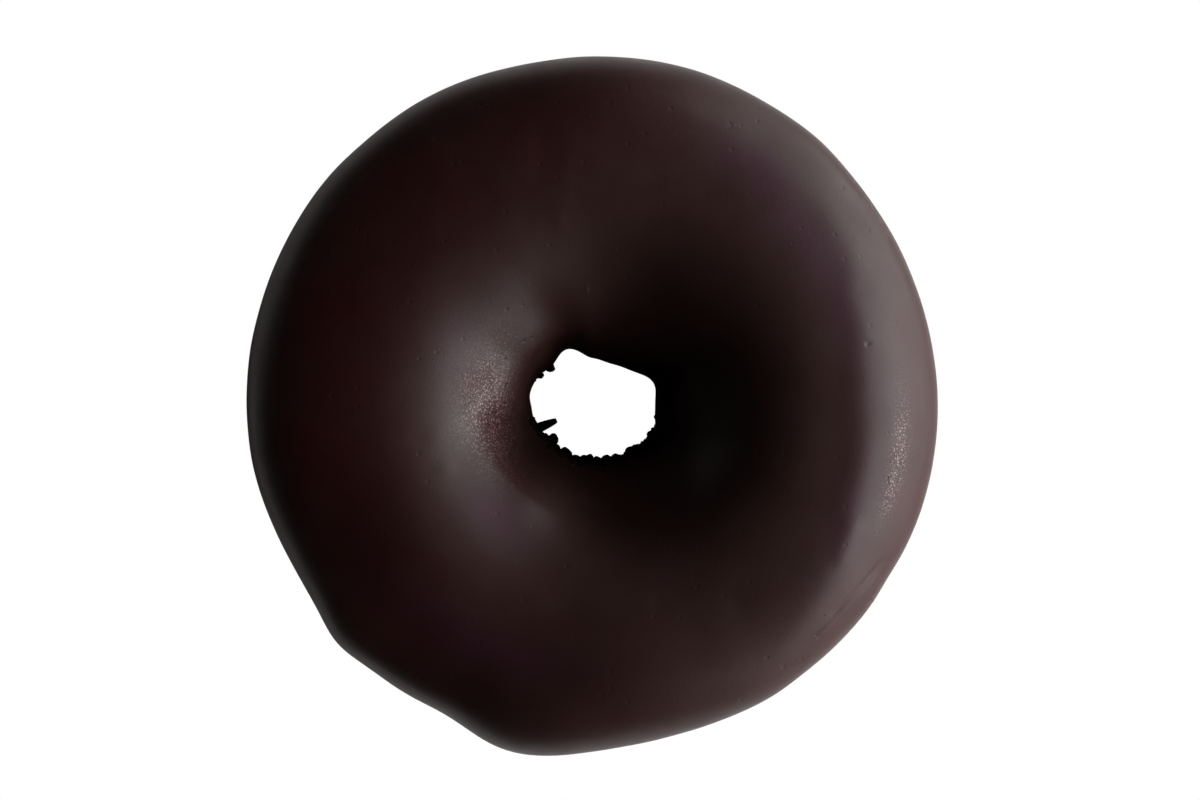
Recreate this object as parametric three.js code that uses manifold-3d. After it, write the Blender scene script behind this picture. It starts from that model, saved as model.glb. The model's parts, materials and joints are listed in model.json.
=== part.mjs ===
// A ring doughnut dipped all over in dark chocolate, lying flat on its base.
// Millimetres, +Z up, with the origin on the base under the middle of the ring.
import * as THREE from "three";
import { mergeVertices } from "three/addons/utils/BufferGeometryUtils.js";
import Module from "manifold-3d";

// Driving sizes of the ring
const OUTER_RADIUS = 45;
const HOLE_RADIUS = 6.9;
const CREST_RADIUS = 28.3;
const HEIGHT = 27.5;

// Heights at which the ring is widest, and at which its hole is narrowest
const OUTER_WAIST_HEIGHT = 15.5;
const HOLE_WAIST_HEIGHT = 8;

// How full the section is: how far each wall stays upright from its waist, and how far the crest and
// the base stay level, as shares of their quarter
const HOLE_WALL_FULLNESS = { upright: 0.55, level: 0.61 };
const OUTER_WALL_FULLNESS = { upright: 0.6, level: 1.1 };
const UNDERSIDE_FULLNESS = { upright: 0.6, level: 0.6 };

// Depth of the round underside that is flattened away where the ring rests
const BASE_TRIM = 1.3;

// Steps of the mesh round the ring and along each quarter of its section
const STEPS_ROUND = 96;
const STEPS_PER_QUARTER = 12;

// Corners nearer than WELD are one corner, and edges shorter than SLIVER are closed up after joining
const WELD = 1e-4;
const SLIVER = 0.02;

// Bulges and dents of the outer wall: direction and spread in degrees, height in millimetres
const WALL_BULGES = [
  { at: 66, spread: 25, out: 0.55 },
  { at: 126, spread: 32, out: 0.5 },
  { at: 207, spread: 13, out: -0.85 },
  { at: 223, spread: 5.4, out: 0.75 },
  { at: 245, spread: 9, out: -1.4 },
  { at: 255, spread: 15.5, out: 2.2 },
  { at: 279, spread: 46, out: -1.0 },
];

// Bulges and dents of the hole's wall, where a positive one widens the hole
const HOLE_BULGES = [
  { at: 22, spread: 14, out: 1.0 },
  { at: 71, spread: 25, out: -0.85 },
  { at: 115, spread: 15, out: 1.3 },
  { at: 172, spread: 32, out: 1.5 },
  { at: 270, spread: 45, out: 0.5 },
  { at: 350, spread: 34, out: 1.4 },
];

// Shares of the half width, counted from the crest, over which a wall's bulges grow to full size
const BULGE_GROWTH = { from: 0.1, to: 1 };

// Slow rise and fall of the crest: waves in a turn, start in degrees, height in millimetres
const CREST_WAVES = [
  { waves: 2, start: 35, rise: 0.45 },
  { waves: 3, start: 200, rise: 0.3 },
  { waves: 5, start: 80, rise: 0.12 },
];

// Where the dough under the coat swells or sinks: direction and spread in degrees, the place across
// the section and its width as shares of the half width, height in millimetres
const SWELLS = [
  { at: 352, spread: 43, across: 0.48, width: 0.13, rise: 0.2 },
  { at: 16, spread: 50, across: 0.92, width: 0.22, rise: -2.3 },
  { at: 83, spread: 20, across: 0.84, width: 0.41, rise: 1.9 },
  { at: 240, spread: 29, across: 0.23, width: 0.95, rise: -1.75 },
  { at: 277, spread: 26, across: 0.57, width: 0.54, rise: 1.9 },
  { at: 85, spread: 28, across: -0.49, width: 0.37, rise: -1.5 },
  { at: 169, spread: 22, across: -0.97, width: 0.3, rise: 2.1 },
  { at: 211, spread: 21, across: -0.94, width: 0.32, rise: -3.1 },
  { at: 222, spread: 30, across: 0.06, width: 0.48, rise: 1.7 },
  { at: 128, spread: 22, across: 0.69, width: 0.32, rise: -0.33 },
  { at: 35, spread: 29, across: 0.61, width: 0.28, rise: -0.95 },
  { at: 156, spread: 40, across: 0.03, width: 0.56, rise: 1.2 },
  { at: 351, spread: 39, across: 0.15, width: 0.49, rise: 1.3 },
];

// The foot of chocolate that spread on the tray before it set. It grows between the shares of the
// half width that from and to give, and its waves round the ring swell and fade in slower ones.
const FOOT = {
  height: 2.4,
  outside: 1.1,
  inside: 0.6,
  from: 0.3,
  to: 0.6,
  waves: 7,
  slowWaves: 2,
  unevenness: 0.35,
};

// Torn crumbs of dough that stand out of the hole's wall, in runs from one direction to another
const CRUMB_RUNS = [
  { count: 22, from: 188, to: 318 },
  { count: 3, from: 131, to: 148 },
];

// A crumb's least and most radius, and its drop below the hole's waist with the scatter of that. It
// is sunk in the wall by a share of its size, moved along its run by a share of its step, and its
// corners are uneven.
const CRUMB = {
  least: 0.5,
  most: 1.1,
  drop: 0.6,
  scatter: 1.7,
  sunk: 0.3,
  jitter: 0.25,
  unevenness: 0.22,
};
const CRUMB_SEED = 11;

// The one thin flake that points into the hole, with its drop below the hole's waist. Its tip is
// lifted, and a belly under 1 moves its widest place towards the tip.
const FLAKE = {
  at: 202.5,
  tipRadius: 5,
  length: 4.4,
  width: 1.5,
  thickness: 0.6,
  drop: 0.4,
  lift: 0.6,
  belly: 0.8,
};
const FLAKE_STEPS = { along: 7, round: 8 };

// Multiplier and modulus of the repeatable random draws
const DRAW_MULTIPLIER = 16807;
const DRAW_MODULUS = 2147483647;

const MIDDLE_RADIUS = (OUTER_RADIUS + HOLE_RADIUS) / 2;
const HALF_WIDTH = (OUTER_RADIUS - HOLE_RADIUS) / 2;
const FULL_TURN = 360;
const { degToRad, radToDeg, lerp, smoothstep, euclideanModulo } = THREE.MathUtils;

// Gives a function that draws repeatable random numbers from -1 to 1
function drawsFrom(seed) {
  let state = seed;
  return () => {
    state = (state * DRAW_MULTIPLIER) % DRAW_MODULUS;
    return (2 * state) / DRAW_MODULUS - 1;
  };
}

// Degrees from one direction to another, from -180 to 180
function turnBetween(from, to) {
  const halfTurn = FULL_TURN / 2;
  return euclideanModulo(to - from + halfTurn, FULL_TURN) - halfTurn;
}

// A bell curve that is 1 in its middle and fades over the spread
function bell(distance, spread) {
  return Math.exp(-((distance / spread) ** 2));
}

// Sum of all the bulges at one direction round the ring
function bulgeAt(bulges, direction) {
  let sum = 0;
  for (const { at, spread, out } of bulges) {
    sum += out * bell(turnBetween(at, direction), spread);
  }
  return sum;
}

// How far the crest stands above or below its even height at one direction
function crestRise(direction) {
  let sum = 0;
  for (const { waves, start, rise } of CREST_WAVES) {
    sum += rise * Math.sin(degToRad(waves * (direction - start)));
  }
  return sum;
}

// Sum of all the swells and hollows at one direction and share across the section
function swellRise(direction, across) {
  let sum = 0;
  for (const swell of SWELLS) {
    const along = bell(turnBetween(swell.at, direction), swell.spread);
    sum += swell.rise * along * bell(across - swell.across, swell.width);
  }
  return sum;
}

// The height of the hole's narrowest place at one direction, with its swells and hollows
function holeWaistAt(direction) {
  return HOLE_WAIST_HEIGHT + swellRise(direction, -1);
}

// One quarter of the section: upright at its wall, and level at the crest or the base
function quarterFrom(wall, level, fullness) {
  const wallHandle = new THREE.Vector2(wall.x, lerp(wall.y, level.y, fullness.upright));
  const levelHandle = new THREE.Vector2(lerp(level.x, wall.x, fullness.level), level.y);
  return new THREE.CubicBezierCurve(wall, wallHandle, levelHandle, level);
}

// The same quarter, followed from its crest or base to its wall
function quarterTo(wall, level, fullness) {
  const { v0, v1, v2, v3 } = quarterFrom(wall, level, fullness);
  return new THREE.CubicBezierCurve(v3, v2, v1, v0);
}

// The even section of the ring: a crest nearer to the outside, a round underside and a flat base
function sectionProfile() {
  const outside = new THREE.Vector2(OUTER_RADIUS, OUTER_WAIST_HEIGHT);
  const crest = new THREE.Vector2(CREST_RADIUS, HEIGHT);
  const inside = new THREE.Vector2(HOLE_RADIUS, HOLE_WAIST_HEIGHT);
  const base = new THREE.Vector2(MIDDLE_RADIUS, -BASE_TRIM);
  const section = new THREE.CurvePath();
  section.add(quarterFrom(outside, crest, OUTER_WALL_FULLNESS));
  section.add(quarterTo(inside, crest, HOLE_WALL_FULLNESS));
  section.add(quarterFrom(inside, base, UNDERSIDE_FULLNESS));
  section.add(quarterTo(outside, base, UNDERSIDE_FULLNESS));
  const points = section.getPoints(STEPS_PER_QUARTER);
  for (const point of points) {
    point.y = Math.max(0, point.y);
  }
  return points;
}

// How far the foot on the tray reaches out, or inwards for a negative across
function footReach(height, across, direction) {
  const nearTray = Math.max(0, 1 - height / FOOT.height) ** 2;
  const waves = Math.sin(degToRad(FOOT.waves * direction)) * Math.cos(degToRad(FOOT.slowWaves * direction));
  const outside = FOOT.outside * smoothstep(across, FOOT.from, FOOT.to);
  const inside = FOOT.inside * smoothstep(-across, FOOT.from, FOOT.to);
  return nearTray * (1 + FOOT.unevenness * waves) * (outside - inside);
}

// Moves one point of the even ring to its place on the uneven one
function unevenPoint(point) {
  const direction = radToDeg(Math.atan2(point.y, point.x));
  const radius = Math.hypot(point.x, point.y);
  const across = (radius - MIDDLE_RADIUS) / HALF_WIDTH;

  let moved = radius + footReach(point.z, across, direction);
  moved += smoothstep(across, BULGE_GROWTH.from, BULGE_GROWTH.to) * bulgeAt(WALL_BULGES, direction);
  moved += smoothstep(-across, BULGE_GROWTH.from, BULGE_GROWTH.to) * bulgeAt(HOLE_BULGES, direction);

  const overWaist = Math.max(0, point.z - HOLE_WAIST_HEIGHT) / (HEIGHT - HOLE_WAIST_HEIGHT);
  const overTray = smoothstep(point.z, 0, HOLE_WAIST_HEIGHT);
  const rise = overWaist * crestRise(direction) + overTray * swellRise(direction, across);

  const scale = moved / radius;
  return new THREE.Vector3(point.x * scale, point.y * scale, point.z + rise);
}

function ringGeometry() {
  const ring = new THREE.LatheGeometry(sectionProfile(), STEPS_ROUND).rotateX(Math.PI / 2);
  const places = ring.getAttribute("position");
  const point = new THREE.Vector3();
  for (let i = 0; i < places.count; i++) {
    point.fromBufferAttribute(places, i);
    places.setXYZ(i, ...unevenPoint(point));
  }
  return weld(ring);
}

// A closed geometry with only its places left and its shared corners merged
function weld(geometry) {
  geometry.deleteAttribute("normal");
  geometry.deleteAttribute("uv");
  return mergeVertices(geometry, WELD);
}

// A torn crumb: a twenty-sided lump with its corners pushed in and out, set in the hole's wall
function crumbGeometry(run, index, draw) {
  const share = (index + 0.5 + CRUMB.jitter * draw()) / run.count;
  const direction = run.from + (run.to - run.from) * share;
  const size = (CRUMB.least + CRUMB.most + (CRUMB.most - CRUMB.least) * draw()) / 2;
  const lump = weld(new THREE.IcosahedronGeometry(size, 0));
  const corners = lump.getAttribute("position");
  const corner = new THREE.Vector3();
  for (let i = 0; i < corners.count; i++) {
    corner.fromBufferAttribute(corners, i).multiplyScalar(1 + CRUMB.unevenness * draw());
    corners.setXYZ(i, ...corner);
  }
  const wallRadius = HOLE_RADIUS + bulgeAt(HOLE_BULGES, direction);
  const level = holeWaistAt(direction) - CRUMB.drop + CRUMB.scatter * draw();
  lump.rotateX(Math.PI * draw()).rotateZ(Math.PI * draw());
  lump.translate(wallRadius + CRUMB.sunk * size, 0, level);
  return lump.rotateZ(degToRad(direction));
}

// The flake: a flattened spindle that tapers to its tip and curls upwards
function flakeGeometry() {
  const profile = [];
  for (let i = 0; i <= FLAKE_STEPS.along; i++) {
    const share = i / FLAKE_STEPS.along;
    const isEnd = i === 0 || i === FLAKE_STEPS.along;
    const halfWidth = isEnd ? 0 : (FLAKE.width / 2) * Math.sin(Math.PI * share ** FLAKE.belly);
    profile.push(new THREE.Vector2(halfWidth, FLAKE.length * share));
  }
  const flake = new THREE.LatheGeometry(profile, FLAKE_STEPS.round);
  flake.rotateZ(Math.PI / 2).scale(1, 1, FLAKE.thickness / FLAKE.width);
  const places = flake.getAttribute("position");
  for (let i = 0; i < places.count; i++) {
    const share = -places.getX(i) / FLAKE.length;
    places.setZ(i, places.getZ(i) + FLAKE.lift * share * share);
  }
  flake.translate(FLAKE.tipRadius + FLAKE.length, 0, holeWaistAt(FLAKE.at) - FLAKE.drop);
  return weld(flake.rotateZ(degToRad(FLAKE.at)));
}

const wasm = await Module();
wasm.setup();

// Turns a closed geometry into a solid that can be joined
function solidOf(geometry) {
  return new wasm.Manifold(
    new wasm.Mesh({
      numProp: 3,
      vertProperties: new Float32Array(geometry.getAttribute("position").array),
      triVerts: new Uint32Array(geometry.index.array),
    }),
  );
}

function geometryOf(solid) {
  const mesh = solid.getMesh();
  const geometry = new THREE.BufferGeometry();
  geometry.setAttribute("position", new THREE.BufferAttribute(mesh.vertProperties, 3));
  geometry.setIndex(new THREE.BufferAttribute(mesh.triVerts, 1));
  return geometry;
}

// Joins the ring, its torn crumbs and the flake into one solid
function doughnutGeometry() {
  let solid = solidOf(ringGeometry()).add(solidOf(flakeGeometry()));
  const draw = drawsFrom(CRUMB_SEED);
  for (const run of CRUMB_RUNS) {
    for (let i = 0; i < run.count; i++) {
      solid = solid.add(solidOf(crumbGeometry(run, i, draw)));
    }
  }
  return geometryOf(solid.simplify(SLIVER));
}

// Puts the middle of the outline over the origin, and the base on the ground
function centreOnOrigin(geometry) {
  geometry.computeBoundingBox();
  const middle = geometry.boundingBox.getCenter(new THREE.Vector3());
  geometry.translate(-middle.x, -middle.y, -geometry.boundingBox.min.z);
  geometry.computeVertexNormals();
  return geometry;
}

const darkChocolate = new THREE.MeshStandardMaterial({
  color: 0x412221,
  roughness: 0.5,
  metalness: 0,
});
const doughnut = new THREE.Mesh(centreOnOrigin(doughnutGeometry()), darkChocolate);
doughnut.name = "doughnut";

const part = new THREE.Group();
part.add(doughnut);

export default part;
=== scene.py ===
"""Dresses a ring doughnut that is dipped all over in dark chocolate, and lights it in a plain studio."""

import json
import math
import random
from collections import namedtuple

import bmesh
import bpy
from bpy.props import FloatProperty, FloatVectorProperty, PointerProperty
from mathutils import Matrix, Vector, noise

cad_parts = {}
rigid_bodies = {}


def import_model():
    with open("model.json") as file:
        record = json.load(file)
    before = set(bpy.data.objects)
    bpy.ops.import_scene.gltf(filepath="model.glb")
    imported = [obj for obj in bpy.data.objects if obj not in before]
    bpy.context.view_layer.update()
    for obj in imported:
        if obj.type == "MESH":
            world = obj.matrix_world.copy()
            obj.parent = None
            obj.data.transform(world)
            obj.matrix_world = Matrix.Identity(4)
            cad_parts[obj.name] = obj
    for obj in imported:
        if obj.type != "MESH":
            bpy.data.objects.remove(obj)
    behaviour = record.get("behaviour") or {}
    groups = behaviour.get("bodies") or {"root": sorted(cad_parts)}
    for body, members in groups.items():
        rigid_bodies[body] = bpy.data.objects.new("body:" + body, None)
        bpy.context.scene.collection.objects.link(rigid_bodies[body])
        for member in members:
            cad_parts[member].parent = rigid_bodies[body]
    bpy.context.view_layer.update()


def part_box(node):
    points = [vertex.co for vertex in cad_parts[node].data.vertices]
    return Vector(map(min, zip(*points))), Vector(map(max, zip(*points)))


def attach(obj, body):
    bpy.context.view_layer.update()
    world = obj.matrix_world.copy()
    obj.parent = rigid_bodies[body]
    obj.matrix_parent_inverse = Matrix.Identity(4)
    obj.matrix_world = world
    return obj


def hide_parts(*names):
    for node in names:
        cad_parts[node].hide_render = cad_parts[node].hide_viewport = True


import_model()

bl_info = {
    "name": "Chocolate Ring Doughnut",
    "version": (1, 0, 0),
    "blender": (4, 5, 0),
    "location": "3D View > Sidebar > Doughnut",
    "description": "Models, coats and lights a ring doughnut dipped in dark chocolate",
    "category": "Add Mesh",
}

NODE = "doughnut"
BODY = "root"
PIECE = "chocolate_doughnut"

MM = 0.001
FULL_TURN = 360
UP = Vector((0, 0, 1))

# Steps of the mesh round the ring, and along each quarter of its section
STEPS_ROUND = 360
STEPS_PER_QUARTER = 38

# Edges shorter than this are merged, and relief lower than this is left out
WELD = 0.001 * MM
LEAST_HEIGHT = 0.001 * MM

# The mesh is halved twice under marks up to this wide, in millimetres, and so far out that hardly
# anything is left of their height, because an edge is only halved where both its ends are picked
WIDEST_FINE_MARK = 0.65
LEAST_FINE_MARK = 0.000001

# Bulges and dents of the outer wall: direction and spread in degrees, height in millimetres
WALL_BULGES = [
    (66, 25, 0.55),
    (126, 32, 0.5),
    (207, 13, -0.85),
    (223, 5.4, 0.75),
    (245, 9, -1.4),
    (255, 15.5, 2.2),
    (279, 46, -1.0),
    # Slight ones of the coat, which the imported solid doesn't have
    (50, 7, 0.3),
    (130, 7, -0.2),
    (100, 8, -0.15),
    (240, 6, 0.2),
    (300, 6, 0.2),
    (355, 16, 0.15),
    (330.3, 4, -0.2),
]

# Bulges and dents of the hole's wall, where a positive one widens the hole
HOLE_BULGES = [
    (22, 14, 1.0),
    (71, 25, -0.85),
    (115, 15, 1.3),
    (172, 32, 1.5),
    (270, 45, 0.5),
    (350, 34, 1.4),
    # Slight ones of the coat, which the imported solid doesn't have
    (15, 12, 0.15),
    (95, 9, -0.25),
    (150, 8, 0.2),
    (181, 8, -0.25),
    (326, 11, 0.4),
    (342, 6, 0.35),
    (302, 8, 0.25),
]

# The walls' bulges set in at this share of the half width, to either side of the section's middle
BULGE_START = 0.1

# Slow rise and fall of the crest: waves in a turn, start in degrees, height in millimetres
CREST_WAVES = [
    (2, 35, 0.45),
    (3, 200, 0.3),
    (5, 80, 0.12),
]

# Where the dough under the coat swells or sinks: direction and spread in degrees, the place across
# the section and its width as shares of the half width, height in millimetres
Swell = namedtuple("Swell", "direction spread across width rise")
SWELLS = [
    Swell(352, 43, 0.48, 0.13, 0.2),
    Swell(16, 50, 0.92, 0.22, -2.3),
    Swell(83, 20, 0.84, 0.41, 1.9),
    Swell(240, 29, 0.23, 0.95, -1.75),
    Swell(277, 26, 0.57, 0.54, 1.9),
    Swell(85, 28, -0.49, 0.37, -1.5),
    Swell(169, 22, -0.97, 0.30, 2.1),
    Swell(211, 21, -0.94, 0.32, -3.1),
    Swell(222, 30, 0.06, 0.48, 1.7),
    Swell(128, 22, 0.69, 0.32, -0.33),
    Swell(35, 29, 0.61, 0.28, -0.95),
    Swell(156, 40, 0.03, 0.56, 1.2),
    Swell(351, 39, 0.15, 0.49, 1.3),
    # Smaller ones of the coat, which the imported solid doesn't have
    Swell(226, 18, 0.78, 0.28, -0.8),
    Swell(305, 35, -0.72, 0.30, -1.2),
    Swell(268, 22, -0.68, 0.25, -1.0),
    Swell(195, 18, -0.82, 0.15, -2.0),
    Swell(172, 16, -0.80, 0.12, 0.3),
]

# A point of the ring: direction round it in degrees, share of the half width across its section
# from -1 at the hole to 1 outside, height, and the point itself
Place = namedtuple("Place", "direction across height point")

# Ridges of the coat, each a line of directions, in order, with their shares across.
# The lip is where the coat turns down into the hole, nearer to the crest at the lower left. The
# shoulder is where it turns down to the outside, at the right.
LIP = [
    (95, -0.82),
    (130, -0.80),
    (167, -0.82),
    (184, -0.78),
    (195, -0.68),
    (211, -0.61),
    (230, -0.60),
    (258, -0.58),
]
SHOULDER = [
    (-60, 0.72),
    (-31, 0.59),
    (-15, 0.48),
    (3, 0.43),
    (21, 0.54),
    (33, 0.67),
    (52, 0.80),
]

# How far each ridge slopes away towards the hole and towards the outside, in millimetres, and over
# how many degrees it fades at its ends
LIP_SLOPES = (0.6, 3.0)
SHOULDER_SLOPES = (2.0, 2.0)
RIDGE_FADE = 25

# The foot of the coat on the tray: how high it reaches, how many waves run round it and how deep
# they are, and the shares across between which it grows
FOOT_HEIGHT = 2.4 * MM
FOOT_WAVES = (7, 2)
FOOT_WAVE_DEPTH = 0.35
FOOT_START = 0.3
FOOT_FULL = 0.6

# The coat's soft unevenness: lengths of its slow and quick waves, how much the quick ones add, and
# the height over the tray from which it is full
SLOW_WAVE = 14 * MM
QUICK_WAVE = 5 * MM
QUICK_SHARE = 0.3
UNEVEN_HEIGHT = 3 * MM

# A ridge or groove along the coat between two ends, each with its direction and share across, and
# with its width and height in millimetres
Line = namedtuple("Line", "start end width height")

# Laps and streaks where the coat ran and set
COAT_LINES = [
    Line((313.5, 0.806), (331, 0.914), 0.32, 0.22),
    Line((317, 0.785), (333, 0.878), 0.40, -0.14),
    Line((338, 0.55), (326, 0.63), 1.20, 0.17),
    Line((29, 0.965), (39, 0.975), 0.30, 0.15),
    Line((100, 0.62), (104, 0.10), 1.10, -0.03),
    Line((94, 0.58), (99, -0.05), 1.00, 0.03),
]

# Each of them fades over this share of its length at its ends
LINE_FADE = 0.25

# A round pit or bump in the coat, with its radius and height in millimetres
Spot = namedtuple("Spot", "direction across radius height")

# Pits and bumps that are large enough to be seen one by one
COAT_SPOTS = [
    Spot(22.9, 0.608, 0.26, -0.08),
    Spot(12.6, 0.542, 0.26, -0.15),
    Spot(63.6, 0.75, 0.26, -0.07),
    Spot(92.4, -0.57, 0.24, 0.08),
    Spot(191, -0.17, 1.3, -0.10),
    Spot(203, -0.29, 1.1, 0.10),
    Spot(288.8, 0.03, 1.2, -0.06),
    Spot(305.8, 0.31, 1.2, -0.06),
    Spot(100.1, -0.09, 0.8, 0.07),
]

# A torn crumb on the hole's wall: its direction, how near to the hole's axis it reaches, its
# radius and its drop below the hole's waist, in millimetres
Crumb = namedtuple("Crumb", "direction reach radius drop")

# The crumbs that show in the hole's outline
OUTLINE_CRUMBS = [
    Crumb(137.5, 6.9, 0.7, -0.2),
    Crumb(149.5, 7.45, 0.5, 0.4),
    Crumb(213.5, 7.0, 0.5, 0.1),
    Crumb(220.5, 6.1, 0.85, 0.2),
    Crumb(241, 6.45, 1.1, 0.4),
    Crumb(253, 6.85, 0.8, 0.4),
    Crumb(261, 6.6, 0.6, 0.2),
    Crumb(267, 6.4, 0.7, 0.1),
    Crumb(275, 6.75, 0.8, 0.5),
    Crumb(285, 6.8, 0.9, 0.2),
    Crumb(294, 6.95, 0.6, 0.3),
    Crumb(307.5, 7.4, 0.8, 0.4),
    Crumb(314.5, 7.5, 0.6, 0.0),
    Crumb(334, 8.1, 0.5, 0.2),
    Crumb(350, 8.3, 0.4, 0.2),
]

# Small crumbs on the hole's wall and on the torn ledge over it: how many, between which directions,
# and how far the ledge reaches from the wall in millimetres
CrumbRun = namedtuple("CrumbRun", "count first last ledge")
CRUMB_RUNS = [
    CrumbRun(110, 190, 345, 0),
    CrumbRun(90, 192, 320, 0.8),
    CrumbRun(14, 120, 158, 0),
]
CRUMB_SEED = 11

# What is drawn by lot for a small crumb: its share of the largest radius, how many radii deep it
# lies in the ledge or in the wall, and how far it lies below the hole's waist in millimetres
CRUMB_SHARES = (0.4, 1)
LEDGE_DEPTHS = (0.2, 0.7)
WALL_DEPTHS = (0.5, 0.9)
WALL_DROPS = (-1.4, 2.6)

# Where the ledge starts outside the hole's wall, and how far the wall leans back a waist's height
# above or below the waist, in millimetres
LEDGE_START = 0.1
WALL_LEAN = 4

# The flake points from its direction to the ring's axis. It starts as a round, flattened to a share
# of its radius, below the hole's waist and buried in the wall, and rises a little with each step.
# It is drawn out in steps, each with its reach and the share of its width that is left after it.
# Lengths are in millimetres.
FLAKE_DIRECTION = 202.5
FLAKE_RADIUS = 0.78
FLAKE_FLATNESS = 0.6
FLAKE_DROP = 0.4
FLAKE_BURIED = 1.0
FLAKE_RISE = 0.06
FLAKE_TAPERS = [
    (0.55, 0.97),
    (0.55, 0.94),
    (0.55, 0.92),
    (0.55, 0.89),
    (0.55, 0.86),
    (0.4, 0.83),
    (0.2, 0.86),
    (0.1, 0.75),
]

# Where the coat is redder, where it has a faint mauve bloom, and where its grain is strongest,
# which is on its highlights, with painted glints and painted shade in its pinholes: direction and
# spread in degrees, then radius and width in millimetres
WARM_PLACES = [
    (168, 75, 35, 8),
    (163, 22, 14.5, 3),
    (343, 45, 42.5, 4),
]
BLOOM_PLACES = [
    (25, 28, 35.5, 3.5),
    (53, 12, 37.5, 3.0),
    (340, 14, 36.5, 3.0),
    (157, 14, 19.0, 2.5),
    (228, 18, 18.5, 3.5),
    (242, 20, 34.0, 3.0),
]
GRAIN_PLACES = [
    (180, 33, 13.8, 3.2),
    (185, 18, 13.8, 1.8),
    (352, 10, 40.0, 1.0),
    (348, 7, 40.0, 0.8),
]

# The grain of the coat. Pinholes and specks are so many times as fine as the grain. A pinhole
# slopes between two distances from its cell's middle, and is so many times as deep as the grain
# is high. Crystals and pores are the specks' highest and lowest parts. Where the grain is strongest,
# the crystals are painted pale, as painted glints, and the pinholes dark, as painted shade.
PINHOLE_FINENESS = 0.28
PINHOLE_RIM = 0.34
PINHOLE_FLOOR = 0.14
PINHOLE_DEPTH = 1.6
SPECK_FINENESS = 1.3
SPECK_RANGES = [
    ("Crystal", 0.54, 0.72),
    ("Pore", 0.44, 0.30),
]

# The small patches are so many times as fine as the large ones
SMALL_PATCH_FINENESS = 3.4

# How far the patches strengthen the warm and the bloomed places: a factor, and what is added
WARMTH_OF_PATCH = (1.0, 0.5)
BLOOM_OF_PATCH = (0.8, 0.5)

# What changes the coat's roughness: the small patches, its pores, and where its grain is strongest
PATCH_ROUGHNESS = 0.06
PORE_ROUGHNESS = 0.3
GRAIN_ROUGHNESS = -0.10

# How much of the grain's height is left away from the grainy places
LEAST_GRAIN = 0.2

# Torn crumb: how far chocolate mottles it, and how many times as high its grain is as the coat's
CRUMB_MOTTLING = 0.25
CRUMB_COARSENESS = 4

# Where the camera stands over the ring, sidewards of its axis
CAMERA_PLACE = (0.97 * MM, 0.83 * MM)

# A soft panel light: its direction and elevation in degrees, and its share of the strongest power.
# Most of the light comes from low at the right, and a white card gives a little back.
Panel = namedtuple("Panel", "name direction elevation share")
PANELS = [
    Panel("window_low", 30, 7, 0.87),
    Panel("window_middle", 0, 20, 1.0),
    Panel("window_foot", 0, 7, 0.22),
    Panel("side_foot", -30, 7, 0.135),
    Panel("side_middle", -30, 20, 0.6),
    Panel("window_high", 30, 34, 0.345),
    Panel("side_high", -30, 34, 0.22),
    Panel("left_card", 160, 7, 0.073),
]

# Width and height of each panel, in metres
PANEL_SIZE = (0.46, 0.21)


class RingSizes(bpy.types.PropertyGroup):
    """Sizes of the ring, of the relief in its coat and of its torn crumbs."""

    outer_radius: FloatProperty(
        name="Outer radius",
        description="From the ring's axis to the outside of its waist, before it is bulged",
        default=45 * MM,
        unit="LENGTH",
    )
    hole_radius: FloatProperty(
        name="Hole radius",
        description="From the ring's axis to the hole's wall at the waist, before it is bulged",
        default=6.9 * MM,
        unit="LENGTH",
    )
    crest_radius: FloatProperty(
        name="Crest radius",
        description="From the ring's axis to the highest line of the ring",
        default=28.3 * MM,
        unit="LENGTH",
    )
    outer_waist_height: FloatProperty(
        name="Outer waist height",
        description="Height at which the ring is widest",
        default=15.5 * MM,
        unit="LENGTH",
    )
    hole_waist_height: FloatProperty(
        name="Hole waist height",
        description="Height at which the hole is narrowest",
        default=8 * MM,
        unit="LENGTH",
    )
    height: FloatProperty(
        name="Height",
        description="Even height of the crest, without its slow rise and fall",
        default=27.5 * MM,
        unit="LENGTH",
    )
    base_trim: FloatProperty(
        name="Base trim",
        description="Depth of the round underside that is flattened where the ring rests",
        default=1.3 * MM,
        unit="LENGTH",
    )
    lip_rise: FloatProperty(
        name="Lip rise",
        description="Height of the lip where the coat turns down into the hole",
        default=0.45 * MM,
        unit="LENGTH",
    )
    shoulder_rise: FloatProperty(
        name="Shoulder rise",
        description="Height of the shoulder where the coat turns down to the outside",
        default=0.15 * MM,
        unit="LENGTH",
    )
    foot_reach: FloatProperty(
        name="Foot reach",
        description="How far the coat spread on the tray outside the ring before it set",
        default=1.1 * MM,
        unit="LENGTH",
    )
    unevenness: FloatProperty(
        name="Unevenness",
        description="Height of the soft unevenness of the coat",
        default=0.12 * MM,
        unit="LENGTH",
    )
    crumb_radius: FloatProperty(
        name="Crumb radius",
        description="Radius of the largest of the small torn crumbs on the hole's wall",
        default=0.6 * MM,
        unit="LENGTH",
    )


class SectionCurves(bpy.types.PropertyGroup):
    """How full the ring's section is: the reach of each curve handle, where 1 spans its quarter."""

    crest_inwards: FloatProperty(
        name="Crest inwards",
        description="How long the crest stays level towards the hole",
        default=0.61,
        subtype="FACTOR",
    )
    crest_outwards: FloatProperty(
        name="Crest outwards",
        description="How long the crest stays level towards the outside",
        default=1.1,
        subtype="FACTOR",
    )
    hole_wall: FloatProperty(
        name="Hole wall",
        description="How far the hole's wall stays upright above its waist",
        default=0.55,
        subtype="FACTOR",
    )
    outer_wall: FloatProperty(
        name="Outer wall",
        description="How far the outer wall stays upright above its waist",
        default=0.6,
        subtype="FACTOR",
    )
    belly: FloatProperty(
        name="Belly",
        description="How far both walls stay upright below their waists",
        default=0.6,
        subtype="FACTOR",
    )
    base: FloatProperty(
        name="Base",
        description="How far the underside stays level from its middle",
        default=0.6,
        subtype="FACTOR",
    )


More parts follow.
